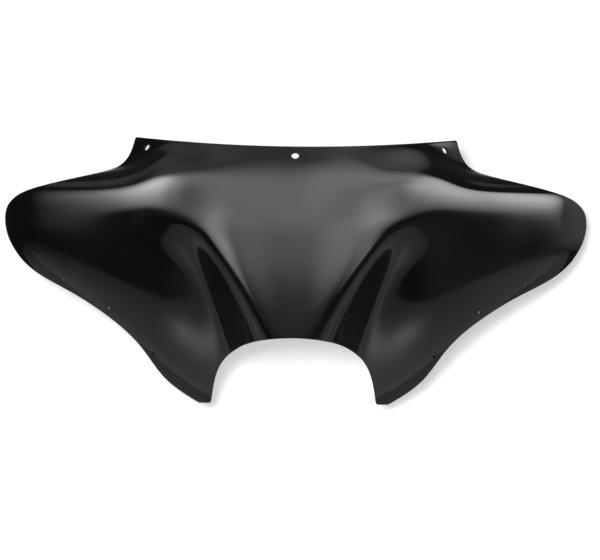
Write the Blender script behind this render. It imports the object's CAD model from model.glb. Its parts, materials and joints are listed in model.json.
import json
import math

import bpy
import numpy as np
from mathutils import Matrix, Vector


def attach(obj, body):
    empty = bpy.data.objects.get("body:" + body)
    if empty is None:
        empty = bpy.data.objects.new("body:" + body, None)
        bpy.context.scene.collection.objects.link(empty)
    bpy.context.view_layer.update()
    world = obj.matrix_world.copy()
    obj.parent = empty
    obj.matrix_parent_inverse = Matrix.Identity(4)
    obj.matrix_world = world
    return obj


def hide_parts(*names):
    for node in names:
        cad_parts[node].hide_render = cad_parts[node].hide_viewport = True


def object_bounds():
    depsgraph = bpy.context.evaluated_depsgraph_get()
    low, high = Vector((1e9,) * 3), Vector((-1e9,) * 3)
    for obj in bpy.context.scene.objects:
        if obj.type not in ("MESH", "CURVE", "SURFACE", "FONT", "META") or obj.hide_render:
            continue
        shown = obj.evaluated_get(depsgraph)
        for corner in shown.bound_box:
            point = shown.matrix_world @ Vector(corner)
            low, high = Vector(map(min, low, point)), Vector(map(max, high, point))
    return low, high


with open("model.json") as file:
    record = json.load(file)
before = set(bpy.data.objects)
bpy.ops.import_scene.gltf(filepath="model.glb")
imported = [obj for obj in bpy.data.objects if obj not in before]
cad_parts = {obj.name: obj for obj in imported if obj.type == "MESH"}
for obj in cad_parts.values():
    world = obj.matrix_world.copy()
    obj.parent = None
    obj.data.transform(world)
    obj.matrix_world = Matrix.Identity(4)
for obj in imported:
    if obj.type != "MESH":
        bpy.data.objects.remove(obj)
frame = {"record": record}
cad_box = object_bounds()
scene = bpy.context.scene
scene.view_settings.view_transform = "Standard"


# The blank: a flat sheet of plastic, trimmed to the winged outline of the front view.
# Places are across and up from the leg tips, in metres. Its rows and columns follow the
# outline, so that the sheet can be formed later with no ragged edge.
wing_tip = np.array((0.400, 0.250))
ear_corner = np.array((0.2175, 0.3615))
leg_outer = np.array((0.130, 0.0))
leg_inner = np.array((0.113, 0.0))
cutout_top = np.array((0.0, 0.0944))
top_edge_sag = 0.0159
ear_corner_radius = 0.003
leg_corner_radius = 0.004

# Bends of the outline: steps across and up from the ear corner
ear_side = np.array((0.0051, -0.0176))
ear_foot = (0.0155, -0.0343)
wing_top_start = (0.0446, -0.0479)
# From the wing tip
wing_top_end = (-0.0500, 0.0428)
wing_shoulder = (-0.0180, 0.0306)
wing_corner = (-0.0032, 0.0162)
wing_heel = (-0.0188, -0.0470)
wing_lower_bend = (-0.0426, -0.0701)
wing_lower_end = (-0.0689, -0.0854)
# From the outer corner of the leg tip
lower_edge_start = (0.1661, 0.1470)
lower_edge_middle = (0.1294, 0.1247)
leg_bend = (0.0740, 0.0753)
leg_knee = (0.0572, 0.0502)
leg_side = (0.0439, 0.0329)
leg_foot = (0.0288, 0.0194)
leg_tip_direction = np.array((-0.026, -0.016))
# From the inner corner of the leg tip
cutout_side_low = np.array((-0.0048, 0.0255))
cutout_side_high = (-0.0179, 0.0593)
# From the middle of the cut-out's top
cutout_corner = (0.0642, -0.0108)
cutout_top_end = (0.0360, -0.0029)
straight_down = np.array((0.0, -1.0))
straight_in = np.array((-1.0, 0.0))

# How finely the lines of the outline are drawn
points_per_bend = 60
points_per_corner = 9
points_in_top_arc = 200
points_in_leg_tip = 20


def smooth_line(places, start, end):
    """Closely spaced points on a smooth line through these places, with its end directions."""
    places = np.array(places)
    gaps = np.linalg.norm(np.diff(places, axis=0), axis=1)
    last = len(places) - 1
    system = np.eye(last + 1)
    slopes = np.zeros_like(places)
    slopes[0] = start / np.linalg.norm(start)
    slopes[last] = end / np.linalg.norm(end)
    for i in range(1, last):
        before, after = gaps[i - 1], gaps[i]
        system[i, i - 1 : i + 2] = 1 / before, 2 / before + 2 / after, 1 / after
        slopes[i] = 3 * (places[i] - places[i - 1]) / before**2
        slopes[i] += 3 * (places[i + 1] - places[i]) / after**2
    slopes = np.linalg.solve(system, slopes)
    along = np.linspace(0, 1, points_per_bend, endpoint=False)[:, None]
    line = []
    for i in range(last):
        bend_in = slopes[i] * gaps[i] * along * (1 - along) ** 2
        bend_out = slopes[i + 1] * gaps[i] * along**2 * (along - 1)
        share = along**2 * (3 - 2 * along)
        line.extend(places[i] * (1 - share) + places[i + 1] * share + bend_in + bend_out)
    return np.array(line + [places[last]])


def totals(steps):
    """Running totals of these steps, from zero."""
    return np.concatenate(([0], np.cumsum(steps)))


def distances(line):
    """How far along a line each of its points lies."""
    return totals(np.linalg.norm(np.diff(line, axis=0), axis=1))


def length(line):
    return distances(line)[-1]


def at(line, along):
    """Points at these distances along a line."""
    run = distances(line)
    return np.column_stack([np.interp(along, run, line[:, k]) for k in (0, 1)])


def part_of(line, start, end):
    """The stretch of a line between two distances along it."""
    run = distances(line)
    inner = line[(run > start) & (run < end)]
    return np.vstack((at(line, [start]), inner, at(line, [end])))


def rounded(before, after, radius):
    """Two lines that meet in a corner, trimmed back for the arc that rounds it, and that arc."""
    corner = after[0]
    back = at(before[::-1], [radius])[0] - corner
    ahead = at(after, [radius])[0] - corner
    back /= np.linalg.norm(back)
    ahead /= np.linalg.norm(ahead)
    half = math.acos(np.dot(back, ahead)) / 2
    trim = radius / math.tan(half)
    middle = back + ahead
    centre = corner + middle / np.linalg.norm(middle) * radius / math.sin(half)
    first_arm = corner + back * trim - centre
    last_arm = corner + ahead * trim - centre
    sweep = math.pi - 2 * half
    turns = np.linspace(0, sweep, points_per_corner)[:, None]
    swung = np.sin(sweep - turns) * first_arm + np.sin(turns) * last_arm
    return (
        part_of(before, 0, length(before) - trim),
        centre + swung / math.sin(sweep),
        part_of(after, trim, length(after)),
    )


# Right half of the upper edge: the shallow arc under the windshield, the ear and the wing
top_arc_radius = (ear_corner[0] ** 2 + top_edge_sag**2) / (2 * top_edge_sag)
top_arc_across = np.linspace(0, ear_corner[0], points_in_top_arc)
top_arc_rise = top_arc_radius - np.sqrt(top_arc_radius**2 - top_arc_across**2)
top_arc = np.column_stack((top_arc_across, ear_corner[1] - top_edge_sag + top_arc_rise))
wing_top = smooth_line(
    [
        ear_corner,
        ear_corner + ear_side,
        ear_corner + ear_foot,
        ear_corner + wing_top_start,
        wing_tip + wing_top_end,
        wing_tip + wing_shoulder,
        wing_tip + wing_corner,
        wing_tip,
    ],
    ear_side,
    straight_down,
)
top_arc, ear_arc, wing_top = rounded(top_arc, wing_top, ear_corner_radius)

# Right half of the lower edge: the cut-out for the headlight, the leg and the wing
cutout_edge = smooth_line(
    [
        leg_inner,
        leg_inner + cutout_side_low,
        leg_inner + cutout_side_high,
        cutout_top + cutout_corner,
        cutout_top + cutout_top_end,
        cutout_top,
    ],
    cutout_side_low,
    straight_in,
)[::-1]
wing_bottom = smooth_line(
    [
        wing_tip,
        wing_tip + wing_heel,
        wing_tip + wing_lower_bend,
        wing_tip + wing_lower_end,
        leg_outer + lower_edge_start,
        leg_outer + lower_edge_middle,
        leg_outer + leg_bend,
        leg_outer + leg_knee,
        leg_outer + leg_side,
        leg_outer + leg_foot,
        leg_outer,
    ],
    straight_down,
    leg_tip_direction,
)[::-1]
leg_tip = np.linspace(leg_inner, leg_outer, points_in_leg_tip)
cutout_edge, leg_inner_arc, leg_tip = rounded(cutout_edge, leg_tip, leg_corner_radius)
leg_tip, leg_outer_arc, wing_bottom = rounded(leg_tip, wing_bottom, leg_corner_radius)

# The round of the wing tip is an edge of its own, from the heel up to the shoulder
tip_above = 0.038
tip_below = 0.055
wing_top_length = length(wing_top) - tip_above
wing_bottom_length = length(wing_bottom) - tip_below
tip_edge = np.vstack(
    (
        part_of(wing_bottom, wing_bottom_length, length(wing_bottom))[:-1],
        part_of(wing_top, wing_top_length, length(wing_top))[::-1],
    )
)
upper_line = np.vstack((top_arc[:-1], ear_arc, part_of(wing_top, 0, wing_top_length)[1:]))
lower_line = np.vstack(
    (
        cutout_edge[:-1],
        leg_inner_arc,
        leg_tip[1:-1],
        leg_outer_arc,
        part_of(wing_bottom, 0, wing_bottom_length)[1:],
    )
)

# Columns join the two edges, close together at the corners. From the middle outwards, each
# run of them has its number, its stretch of the upper edge and its stretch of the lower edge.
column_counts, upper_steps, lower_steps = (
    list(column)
    for column in zip(
        (50, length(top_arc) - 0.051, length(cutout_edge)),
        (6, 0.007, length(leg_inner_arc)),
        (4, 0.006, length(leg_tip)),
        (6, 0.007, length(leg_outer_arc)),
        (13, 0.031, 0.045),
        (6, length(ear_arc), 0.006),
        (17, 0.045, 0.050),
    )
)
column_counts.append(74)
upper_steps.append(length(upper_line) - sum(upper_steps))
lower_steps.append(length(lower_line) - sum(lower_steps))
stops = totals(column_counts)
columns = np.arange(stops[-1] + 1)
upper_half = at(upper_line, np.interp(columns, stops, totals(upper_steps)))
lower_half = at(lower_line, np.interp(columns, stops, totals(lower_steps)))

# The grid of the sheet, between its four edges
row_count = 110
mirrored = np.array((-1, 1))
upper = np.vstack((upper_half[:0:-1] * mirrored, upper_half))[:, None]
lower = np.vstack((lower_half[:0:-1] * mirrored, lower_half))[:, None]
right = at(tip_edge, np.linspace(0, length(tip_edge), row_count))[None]
left = right * mirrored
to_right = np.linspace(0, 1, len(upper))[:, None, None]
to_top = np.linspace(0, 1, row_count)[None, :, None]
flat = lower * (1 - to_top) + upper * to_top + left * (1 - to_right) + right * to_right
flat -= (lower[:1] * (1 - to_right) + lower[-1:] * to_right) * (1 - to_top)
flat -= (upper[:1] * (1 - to_right) + upper[-1:] * to_right) * to_top
places = np.zeros((flat.shape[0] * flat.shape[1], 3))
places[:, 0] = flat[..., 0].ravel()
places[:, 2] = flat[..., 1].ravel()
numbers = np.arange(len(places)).reshape(flat.shape[:2])
quads = np.stack(
    (numbers[:-1, :-1], numbers[1:, :-1], numbers[1:, 1:], numbers[:-1, 1:]), axis=-1
)
blank = bpy.data.meshes.new("fairing_shell_moulding")
blank.from_pydata(places.tolist(), [], quads.reshape(-1, 4).tolist())
shell = bpy.data.objects.new("fairing_shell_moulding", blank)
scene.collection.objects.link(shell)


# Finishes of the one moulding: a gloss black face, a satin back as the sheet comes off the
# mould, and the sawn and scraped edge, which is a little greyer and duller.
plastic_ior = 1.58
gloss_tint = (0.98, 0.935, 1.0, 1)
wander_scale = 9.0
wander_detail = 3.0
dark_below, light_above = 0.35, 0.65
smooth_below, rough_above = 0.3, 0.7
grain_detail = 2.0


def black_plastic(name, dark, light, smoothest, roughest, grain_size, grain_depth):
    """Black plastic whose colour and gloss wander a little, with a fine grain."""
    material = bpy.data.materials.new(name)
    material.use_nodes = True
    nodes = material.node_tree.nodes
    links = material.node_tree.links
    shader = nodes["Principled BSDF"]
    shader.inputs["IOR"].default_value = plastic_ior
    shader.inputs["Specular Tint"].default_value = gloss_tint
    place = nodes.new("ShaderNodeTexCoord")
    wander = nodes.new("ShaderNodeTexNoise")
    wander.inputs["Scale"].default_value = wander_scale
    wander.inputs["Detail"].default_value = wander_detail
    links.new(place.outputs["Object"], wander.inputs["Vector"])
    tint = nodes.new("ShaderNodeValToRGB")
    tint.color_ramp.elements[0].position = dark_below
    tint.color_ramp.elements[0].color = (*dark, 1)
    tint.color_ramp.elements[1].position = light_above
    tint.color_ramp.elements[1].color = (*light, 1)
    links.new(wander.outputs["Fac"], tint.inputs["Fac"])
    links.new(tint.outputs["Color"], shader.inputs["Base Color"])
    gloss = nodes.new("ShaderNodeMapRange")
    gloss.inputs["From Min"].default_value = smooth_below
    gloss.inputs["From Max"].default_value = rough_above
    gloss.inputs["To Min"].default_value = smoothest
    gloss.inputs["To Max"].default_value = roughest
    links.new(wander.outputs["Fac"], gloss.inputs["Value"])
    links.new(gloss.outputs["Result"], shader.inputs["Roughness"])
    grain = nodes.new("ShaderNodeTexNoise")
    grain.inputs["Scale"].default_value = 1 / grain_size
    grain.inputs["Detail"].default_value = grain_detail
    links.new(place.outputs["Object"], grain.inputs["Vector"])
    bump = nodes.new("ShaderNodeBump")
    bump.inputs["Strength"].default_value = 1.0
    bump.inputs["Distance"].default_value = grain_depth
    links.new(grain.outputs["Fac"], bump.inputs["Height"])
    links.new(bump.outputs["Normal"], shader.inputs["Normal"])
    return material


gloss_face = black_plastic(
    "gloss_black_face",
    dark=(0.0017, 0.0014, 0.0011),
    light=(0.0027, 0.0023, 0.0019),
    smoothest=0.08,
    roughest=0.12,
    grain_size=0.006,
    grain_depth=0.00001,
)
satin_back = black_plastic(
    "satin_black_back",
    dark=(0.010, 0.010, 0.011),
    light=(0.016, 0.016, 0.017),
    smoothest=0.36,
    roughest=0.45,
    grain_size=0.0015,
    grain_depth=0.00006,
)
trimmed_edge = black_plastic(
    "trimmed_edge",
    dark=(0.008, 0.008, 0.009),
    light=(0.014, 0.014, 0.014),
    smoothest=0.30,
    roughest=0.40,
    grain_size=0.002,
    grain_depth=0.00004,
)


# Forming: the blank is pressed to the shape of the mould, and gets its thickness.
# Two forms meet softly: a nose that leans back and is bowed, with a crease and a side wall
# below it, and one long wing that rolls back above its crest and turns under below it.
mould_sizes = {
    "Sheet Thickness": 0.004,
    "Middle Hole Height": -cad_box[0].z,
    "Middle Hole Depth": 0.050177,
    "Nose Start Height": 0.091,
    "Nose Slope At Start": 0.05,
    "Nose Lean Radius": 0.740,
    "Nose Radius": 0.305,
    "Crest Height": 0.257,
    "Crease End Half Width": 0.200,
    "Crease Rise": 0.263,
    "Crease Middle Round": 0.012,
    "Crease Round": 0.010,
    "Side Wall Slope": 2.0,
    "Wing Half Width": wing_tip[0],
    "Wing Setback": 0.035,
    "Wing Root Setback": 0.025,
    "Wing Root Half Width": 0.120,
    "Wing Radius": 0.590,
    "Tip Turn Width": 0.070,
    "Tip Turn Depth": 0.015,
    "Crown Height": 0.037,
    "Crown Height Near Nose": 0.068,
    "Crown Change Half Width": 0.200,
    "Crown Power": 4.5,
    "Under Slope": 0.25,
    "Under Drop At Root": 0.115,
    "Under Drop At Tip": 0.033,
    "Under Root Half Width": 0.200,
    "Under Power": 4.3,
    "Hollow Depth": 0.045,
    "Hollow Drop": 0.050,
    "Hollow Half Width": 0.150,
    "Blend": 0.024,
}
# How sharply the wing's root, its taller crown and the hollow end
root_fade = 6
crown_fade = 12
hollow_fade = 6
weld_distance = 1e-6


class Amount:
    """A number in a node tree, so that the mould's rule reads as plain arithmetic."""

    def __init__(self, socket):
        self.socket = socket

    def __add__(self, other):
        return worked("ADD", self, other)

    def __sub__(self, other):
        return worked("SUBTRACT", self, other)

    def __mul__(self, other):
        return worked("MULTIPLY", self, other)

    def __truediv__(self, other):
        return worked("DIVIDE", self, other)

    def __pow__(self, other):
        return worked("POWER", self, other)


def worked(operation, *values):
    """One sum of the rule, as a Math node."""
    node = forming.nodes.new("ShaderNodeMath")
    node.operation = operation
    for socket, value in zip(node.inputs, values):
        if isinstance(value, Amount):
            forming.links.new(value.socket, socket)
        else:
            socket.default_value = value
    return Amount(node.outputs[0])


def hypotenuse(a, b):
    return worked("SQRT", a * a + b * b)


def soft_ramp(along, softness):
    """Zero before the start of a ramp and along it after, with the bend rounded."""
    return (along + hypotenuse(along, softness)) * 0.5


def bow(along, radius):
    """Depth of a shallow arc of this radius, this far from its middle."""
    return along**2 / (radius * 2) * ((along / radius) ** 2 * 0.25 + 1)


def fading(along, reach, power):
    """One at the middle, falling to a half at this reach, and then to nothing."""
    return worked("DIVIDE", 1, (along / reach) ** power + 1)


def new_node(tree, kind, **inputs):
    """A node whose named inputs are linked to a socket, or set to a value."""
    node = tree.nodes.new(kind)
    for name, value in inputs.items():
        socket = node.inputs[name.replace("_", " ")]
        if isinstance(value, bpy.types.NodeSocket):
            tree.links.new(value, socket)
        else:
            socket.default_value = value
    return node


def new_tree(name, inputs):
    """An empty tree from geometry to geometry, with these named inputs."""
    tree = bpy.data.node_groups.new(name, "GeometryNodeTree")
    tree.interface.new_socket("Geometry", in_out="INPUT", socket_type="NodeSocketGeometry")
    tree.interface.new_socket("Geometry", in_out="OUTPUT", socket_type="NodeSocketGeometry")
    for label, value in inputs.items():
        kind = "NodeSocketFloat" if isinstance(value, float) else "NodeSocketObject"
        tree.interface.new_socket(label, in_out="INPUT", socket_type=kind)
    return tree, tree.nodes.new("NodeGroupInput"), tree.nodes.new("NodeGroupOutput")


def add_tree(piece, tree, inputs):
    """Puts a tree on a piece, with the values of its named inputs."""
    modifier = piece.modifiers.new(tree.name, "NODES")
    modifier.node_group = tree
    for item in tree.interface.items_tree:
        if item.in_out == "INPUT" and item.name in inputs:
            modifier[item.identifier] = inputs[item.name]


forming, given, formed = new_tree("formed_sheet", mould_sizes)
size = {label: Amount(given.outputs[label]) for label in mould_sizes}
place = new_node(forming, "GeometryNodeInputPosition")
parts = new_node(forming, "ShaderNodeSeparateXYZ", Vector=place.outputs[0])
across = worked("ABSOLUTE", Amount(parts.outputs["X"]))
height = Amount(parts.outputs["Z"])

# Depth of the nose, and of the side wall below its crease
rise = height - size["Nose Start Height"]
lean = size["Nose Slope At Start"] * rise + rise**2 / (size["Nose Lean Radius"] * 2)
crease_end = size["Crease End Half Width"]
to_end = worked("MAXIMUM", crease_end - hypotenuse(across, size["Crease Middle Round"]), 0)
crease_height = size["Crest Height"] - size["Crease Rise"] * (to_end / crease_end) ** 2
crease_slope = size["Crease Rise"] * to_end / crease_end**2 * 2
below_crease = (crease_height - height) / worked("SQRT", crease_slope**2 + 1)
side_wall = size["Side Wall Slope"] * soft_ramp(below_crease, size["Crease Round"])
nose = lean + bow(across, size["Nose Radius"]) + side_wall

# Depth of the wing: its plan, its crown, its underside and the hollow beside the leg
above = worked("MAXIMUM", height - size["Crest Height"], 0)
below = worked("MAXIMUM", size["Crest Height"] - height, 0)
tip_turn_start = size["Wing Half Width"] - size["Tip Turn Width"]
past_turn = worked("MAXIMUM", across - tip_turn_start, 0)
tip = size["Tip Turn Depth"] * (past_turn / size["Tip Turn Width"]) ** 3
root = size["Wing Root Setback"] * fading(across, size["Wing Root Half Width"], root_fade)
plan = size["Wing Setback"] + root + bow(across, size["Wing Radius"]) + tip
near_nose = fading(across, size["Crown Change Half Width"], crown_fade)
taller = size["Crown Height Near Nose"] - size["Crown Height"]
crown_run = size["Crown Height"] + taller * near_nose
crown = crown_run / size["Crown Power"] * (above / crown_run) ** size["Crown Power"]
past_root = across - size["Under Root Half Width"]
along_wing = past_root / (size["Wing Half Width"] - size["Under Root Half Width"])
root_drop = size["Under Drop At Root"]
under_drop = root_drop + (size["Under Drop At Tip"] - root_drop) * along_wing
turned_under = (below / under_drop) ** size["Under Power"]
under = turned_under * size["Under Slope"] * under_drop / size["Under Power"]
hollow = below**3 / (below**3 + size["Hollow Drop"] ** 3) * size["Hollow Depth"]
hollow = hollow * fading(across, size["Hollow Half Width"], hollow_fade)
wing = plan + crown + under + hollow

# The face takes the nearer of the two, and the back follows it at the sheet's thickness
depth = nose - soft_ramp(nose - wing, size["Blend"])
moved = new_node(
    forming,
    "ShaderNodeCombineXYZ",
    X=parts.outputs["X"],
    Y=(depth - size["Middle Hole Depth"]).socket,
    Z=(height - size["Middle Hole Height"]).socket,
)
face = new_node(
    forming,
    "GeometryNodeSetPosition",
    Geometry=given.outputs["Geometry"],
    Position=moved.outputs[0],
)
backwards = worked("MULTIPLY", size["Sheet Thickness"], -1)
thickened = new_node(
    forming,
    "GeometryNodeExtrudeMesh",
    Mesh=face.outputs["Geometry"],
    Offset_Scale=backwards.socket,
    Individual=False,
)
turned = new_node(forming, "GeometryNodeFlipFaces", Mesh=thickened.outputs["Mesh"])
joined = new_node(forming, "GeometryNodeJoinGeometry")
forming.links.new(face.outputs["Geometry"], joined.inputs[0])
forming.links.new(turned.outputs["Mesh"], joined.inputs[0])
welded = new_node(
    forming,
    "GeometryNodeMergeByDistance",
    Geometry=joined.outputs["Geometry"],
    Distance=weld_distance,
)
sheet = new_node(forming, "GeometryNodeRealizeInstances", Geometry=welded.outputs["Geometry"])
for finish, part_of_sheet in ((gloss_face, None), (satin_back, "Top"), (trimmed_edge, "Side")):
    sheet = new_node(
        forming, "GeometryNodeSetMaterial", Geometry=sheet.outputs["Geometry"], Material=finish
    )
    if part_of_sheet:
        forming.links.new(thickened.outputs[part_of_sheet], sheet.inputs["Selection"])
forming.links.new(sheet.outputs["Geometry"], formed.inputs["Geometry"])
add_tree(shell, forming, mould_sizes)

# The sawn edge is scraped round by hand, all the way about the outline
scrape_width = 0.0007
sharp_angle = math.radians(50)
scraped = shell.modifiers.new("scraped_edge", "BEVEL")
scraped.width = scrape_width
scraped.segments = 2
scraped.limit_method = "ANGLE"
scraped.angle_limit = sharp_angle
scraped.use_clamp_overlap = False


# Holes: three by the top edge for the windshield and three by the lower edge of each wing
# for the screws of the inner panel, all drilled square to the face where the mounts are.
drill_length = 0.012
drill_sides = 48
rim_angle = math.radians(60)
mounts = frame["record"]["mounts"]
hole_places = bpy.data.meshes.new("hole_places")
hole_places.from_pydata([mount["pos_m"] for mount in mounts], [], [])
hole_axes = hole_places.attributes.new("hole_axis", "FLOAT_VECTOR", "POINT")
for i, mount in enumerate(mounts):
    hole_axes.data[i].vector = mount["axis"]
hole_radii = hole_places.attributes.new("hole_radius", "FLOAT", "POINT")
for i, mount in enumerate(mounts):
    hole_radii.data[i].value = mount["dims"]["r_mm"] / 1000
hole_marks = bpy.data.objects.new("hole_marks", hole_places)
scene.collection.objects.link(hole_marks)

drill_sizes = {"Hole Marks": hole_marks, "Drill Length": drill_length}
drilling, given, drilled = new_tree("drilled_holes", drill_sizes)
marks = new_node(drilling, "GeometryNodeObjectInfo", Object=given.outputs["Hole Marks"])
drill = new_node(
    drilling,
    "GeometryNodeMeshCylinder",
    Vertices=drill_sides,
    Radius=1.0,
    Depth=given.outputs["Drill Length"],
)
axis = new_node(drilling, "GeometryNodeInputNamedAttribute", Name="hole_axis")
axis.data_type = "FLOAT_VECTOR"
radius = new_node(drilling, "GeometryNodeInputNamedAttribute", Name="hole_radius")
turn = drilling.nodes.new("FunctionNodeAlignRotationToVector")
turn.axis = "Z"
drilling.links.new(axis.outputs["Attribute"], turn.inputs["Vector"])
width = new_node(
    drilling,
    "ShaderNodeCombineXYZ",
    X=radius.outputs["Attribute"],
    Y=radius.outputs["Attribute"],
    Z=1.0,
)
drills = new_node(
    drilling,
    "GeometryNodeInstanceOnPoints",
    Points=marks.outputs["Geometry"],
    Instance=drill.outputs["Mesh"],
    Rotation=turn.outputs["Rotation"],
    Scale=width.outputs["Vector"],
)
real_drills = new_node(
    drilling, "GeometryNodeRealizeInstances", Geometry=drills.outputs["Instances"]
)
cut = drilling.nodes.new("GeometryNodeMeshBoolean")
cut.operation = "DIFFERENCE"
cut.solver = "EXACT"
drilling.links.new(given.outputs["Geometry"], cut.inputs["Mesh 1"])
drilling.links.new(real_drills.outputs["Geometry"], cut.inputs["Mesh 2"])

# Smooth all over, with a crisp line only at the rims
smooth = new_node(drilling, "GeometryNodeSetShadeSmooth", Geometry=cut.outputs["Mesh"])
bend = drilling.nodes.new("GeometryNodeInputMeshEdgeAngle")
gentle = drilling.nodes.new("FunctionNodeCompare")
gentle.operation = "LESS_THAN"
drilling.links.new(bend.outputs["Unsigned Angle"], gentle.inputs[0])
gentle.inputs[1].default_value = rim_angle
crisp = drilling.nodes.new("GeometryNodeSetShadeSmooth")
crisp.domain = "EDGE"
drilling.links.new(smooth.outputs["Geometry"], crisp.inputs["Geometry"])
drilling.links.new(gentle.outputs["Result"], crisp.inputs["Shade Smooth"])
realized = new_node(
    drilling, "GeometryNodeRealizeInstances", Geometry=crisp.outputs["Geometry"]
)
hole_walls = new_node(
    drilling,
    "GeometryNodeSetMaterial",
    Geometry=realized.outputs["Geometry"],
    Selection=drill.outputs["Side"],
    Material=trimmed_edge,
)
drilling.links.new(hole_walls.outputs["Geometry"], drilled.inputs["Geometry"])
add_tree(shell, drilling, drill_sizes)

# The finished moulding as a plain mesh, without the blank's empty first finish
finished = shell.evaluated_get(bpy.context.evaluated_depsgraph_get())
moulding = bpy.data.meshes.new_from_object(finished)
moulding.materials.pop(index=0)
shell.modifiers.clear()
shell.data = moulding
bpy.data.objects.remove(hole_marks)
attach(shell, "root")
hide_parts("fairing_shell")


# The studio: a pale floor, a pale wall close behind, and soft panels of light all round.
# The wall has only a front, so that the shell can also be looked at from behind. The floor and
# the wall have lamps of their own, which leave the shell's shadow on them.
leg_tip_height = cad_box[0].z
nose_depth = -mould_sizes["Middle Hole Depth"]
floor_height = leg_tip_height - 0.25
floor_left, floor_right = -4.5, 5.0
floor_front, floor_back = -0.85, 0.55
wall_depth = cad_box[1].y + 0.05
wall_reach = 2.2
paper_shade = 0.8
surroundings = 0.04


def paper(name, camera_glow, gloss_glow):
    """Pale paper that looks brighter, to the camera and in the gloss, than its lamps make it."""
    material = bpy.data.materials.new(name)
    material.use_nodes = True
    nodes = material.node_tree.nodes
    links = material.node_tree.links
    shader = nodes["Principled BSDF"]
    shader.inputs["Base Color"].default_value = (paper_shade, paper_shade, paper_shade, 1)
    shader.inputs["Roughness"].default_value = 0.9
    shader.inputs["Specular IOR Level"].default_value = 0.0
    shader.inputs["Emission Color"].default_value = (1, 1, 1, 1)
    seen = nodes.new("ShaderNodeLightPath")
    shine = shader.inputs["Emission Strength"]
    for ray, glow in (("Is Camera Ray", camera_glow), ("Is Glossy Ray", gloss_glow)):
        step = nodes.new("ShaderNodeMath")
        step.operation = "MULTIPLY_ADD"
        step.inputs[1].default_value = glow
        step.inputs[2].default_value = 0.0
        links.new(seen.outputs[ray], step.inputs[0])
        links.new(step.outputs[0], shine)
        shine = step.inputs[2]
    return material


def stage_sheet(name, corners, material):
    """One flat sheet of the stage."""
    mesh = bpy.data.meshes.new(name)
    mesh.from_pydata(corners, [], [(0, 1, 2, 3)])
    mesh.materials.append(material)
    sheet = bpy.data.objects.new(name, mesh)
    scene.collection.objects.link(sheet)
    return sheet


floor = stage_sheet(
    "floor",
    [
        (floor_left, floor_front, floor_height),
        (floor_right, floor_front, floor_height),
        (floor_right, floor_back, floor_height),
        (floor_left, floor_back, floor_height),
    ],
    paper("floor_paper", camera_glow=0.6, gloss_glow=0.06),
)
wall_paper = paper("wall_paper", camera_glow=0.46, gloss_glow=0.0)
wall_nodes = wall_paper.node_tree.nodes
wall_links = wall_paper.node_tree.links
side = wall_nodes.new("ShaderNodeNewGeometry")
clear = wall_nodes.new("ShaderNodeBsdfTransparent")
one_sided = wall_nodes.new("ShaderNodeMixShader")
wall_links.new(side.outputs["Backfacing"], one_sided.inputs["Fac"])
wall_links.new(wall_nodes["Principled BSDF"].outputs[0], one_sided.inputs[1])
wall_links.new(clear.outputs[0], one_sided.inputs[2])
wall_links.new(one_sided.outputs[0], wall_nodes["Material Output"].inputs["Surface"])
wall = stage_sheet(
    "wall",
    [
        (-wall_reach, wall_depth, floor_height),
        (wall_reach, wall_depth, floor_height),
        (wall_reach, wall_depth, wall_reach),
        (-wall_reach, wall_depth, wall_reach),
    ],
    wall_paper,
)
wall.visible_glossy = False
wall.visible_shadow = False

# White to the camera all round, and dark in the gloss
world = bpy.data.worlds.new("studio")
scene.world = world
world.use_nodes = True
sky = world.node_tree.nodes["Background"]
sky.inputs["Color"].default_value = (1, 1, 1, 1)
seen = world.node_tree.nodes.new("ShaderNodeLightPath")
level = world.node_tree.nodes.new("ShaderNodeMapRange")
level.inputs["To Min"].default_value = surroundings
level.inputs["To Max"].default_value = 1.0
world.node_tree.links.new(seen.outputs["Is Camera Ray"], level.inputs["Value"])
world.node_tree.links.new(level.outputs["Result"], sky.inputs["Strength"])

# Panels stand round the middle of the shell. They light the shell alone.
lit = {}
for piece in (shell, floor, wall):
    lit[piece] = bpy.data.collections.new("lights_" + piece.name)
    lit[piece].objects.link(piece)
middle = Vector((0, nose_depth + 0.08, leg_tip_height + 0.2))
far = 4.0
near = 0.45


def area_lamp(name, width, height, brightness, piece):
    """A lamp with a flat face that shines this bright, and lights this piece only."""
    lamp = bpy.data.lights.new(name, "AREA")
    lamp.shape = "RECTANGLE"
    lamp.size = width
    lamp.size_y = height
    lamp.energy = brightness * math.pi * width * height
    stand = bpy.data.objects.new(name, lamp)
    scene.collection.objects.link(stand)
    stand.light_linking.receiver_collection = lit[piece]
    return stand


def face_from(stand, distance, direction):
    """Stands a lamp so many degrees across and up from the shell's front, and faces it."""
    turn, lift = (math.radians(angle) for angle in direction)
    ahead = math.cos(lift)
    outwards = Vector((math.sin(turn) * ahead, -math.cos(turn) * ahead, math.sin(lift)))
    stand.location = middle + outwards * distance
    stand.rotation_euler = outwards.to_track_quat("Z", "Y").to_euler()


def reach_of(degrees, distance):
    """How wide a panel is that covers this many degrees, seen from the shell."""
    return 2 * distance * math.tan(math.radians(degrees / 2))


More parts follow.
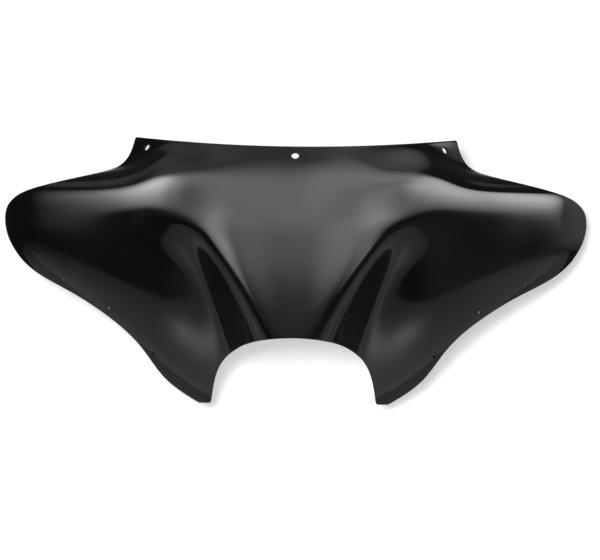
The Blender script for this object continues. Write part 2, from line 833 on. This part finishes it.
def panel(name, distance, direction, spread, brightness, softness, lean=1.0):
    """A panel that fades to its sides and ends, with its bright part off the middle by lean."""
    width, height = (reach_of(degrees, distance) for degrees in spread)
    stand = area_lamp(name, width, height, brightness, shell)
    face_from(stand, distance, direction)
    stand.data.use_nodes = True
    nodes = stand.data.node_tree.nodes
    links = stand.data.node_tree.links
    across_up = nodes.new("ShaderNodeSeparateXYZ")
    links.new(nodes.new("ShaderNodeNewGeometry").outputs["Parametric"], across_up.inputs[0])

    def sum_of(operation, first, second):
        step = nodes.new("ShaderNodeMath")
        step.operation = operation
        for socket, value in zip(step.inputs, (first, second)):
            if isinstance(value, bpy.types.NodeSocket):
                links.new(value, socket)
            else:
                socket.default_value = value
        return step.outputs[0]

    leaning = sum_of("POWER", across_up.outputs["X"], lean)
    fades = []
    for share, fade in zip((leaning, across_up.outputs["Y"]), softness):
        bulge = sum_of("SINE", sum_of("MULTIPLY", share, math.pi), 0.0)
        fades.append(sum_of("POWER", bulge, fade))
    links.new(sum_of("MULTIPLY", *fades), nodes["Emission"].inputs["Strength"])


# Direction, spread and softness are across and up; direction and spread are in degrees
panel("front_panel", far, (-12, 32), (92, 46), 1.9, (0.3, 2.3))
panel("front_glow", far, (-10, 34), (92, 90), 0.55, (0.3, 1.2))
panel("left_panel", far, (-64, 19), (56, 38), 4.2, (1.1, 0.6), lean=2.2)
panel("left_near_panel", near, (-57, 24), (34, 32), 4.5, (1.5, 1.0), lean=0.9)
panel("left_fill", far, (-27, 16), (34, 22), 0.6, (1.4, 1.0))
panel("right_panel", far, (60, 24), (64, 44), 7.8, (1.2, 0.4), lean=1.7)
panel("right_near_panel", near, (57, 24), (40, 32), 4.5, (1.5, 1.0), lean=1.1)
panel("right_fill", far, (27, 17), (38, 22), 1.2, (1.4, 1.0))
panel("right_high_fill", far, (33, 42), (56, 26), 1.9, (1.6, 1.0))
panel("overhead_panel", far, (90, 76), (70, 36), 0.9, (0.7, 0.7))
panel("overhead_glow", far, (-90, 62), (60, 38), 0.4, (0.6, 0.6))
panel("side_panel", far, (100, 14), (56, 50), 0.6, (0.9, 0.9))
panel("low_glow", far, (45, -20), (100, 34), 0.09, (1.0, 1.0))
panel("back_panel", far, (180, 2), (100, 56), 1.0, (0.7, 0.7))

# One lamp for the wall, whose width sets how soft the shadow's edge is
wall_lamp_width = reach_of(10, far)
wall_lamp = area_lamp("wall_lamp", wall_lamp_width, wall_lamp_width, 80.0, wall)
face_from(wall_lamp, far, (-6, 6))
wall_lamp.visible_glossy = False

# Small lamps over the floor: one to each side, and one before the legs. Each is as bright
# as brings the floor below it to its glow.
for name, across, depth, height, glow in (
    ("floor_lamp_right", 1.6, 0.1, 1.6, 0.24),
    ("floor_lamp_left", -1.0, 0.25, 0.8, 0.2),
    ("floor_lamp_front", 0.02, -0.24, 0.27, 1.15),
):
    lamp_width = height / 5
    brightness = glow / paper_shade * math.pi * (height / lamp_width) ** 2
    lamp = area_lamp(name, lamp_width, lamp_width, brightness, floor)
    lamp.location = (across, depth, floor_height + height)
    lamp.visible_glossy = False


# The camera stands in front, a long way off, a little to the right of the middle.
camera_distance = 3.2
camera_yaw = math.radians(0.37)
camera_roll = math.radians(0.63)
aim = Vector((0.0077, nose_depth + 0.1, leg_tip_height + 0.1699))
pixels_wide = 600
focal_pixels = 2401
camera_data = bpy.data.cameras.new("camera")
camera_data.sensor_width = 36
camera_data.lens = focal_pixels * camera_data.sensor_width / pixels_wide
camera = bpy.data.objects.new("camera", camera_data)
scene.collection.objects.link(camera)
forwards = Vector((-math.sin(camera_yaw), math.cos(camera_yaw), 0))
facing = forwards.to_track_quat("-Z", "Y").to_matrix().to_4x4()
camera.matrix_world = (
    Matrix.Translation(aim - forwards * camera_distance)
    @ facing
    @ Matrix.Rotation(camera_roll, 4, "Z")
)
scene.camera = camera
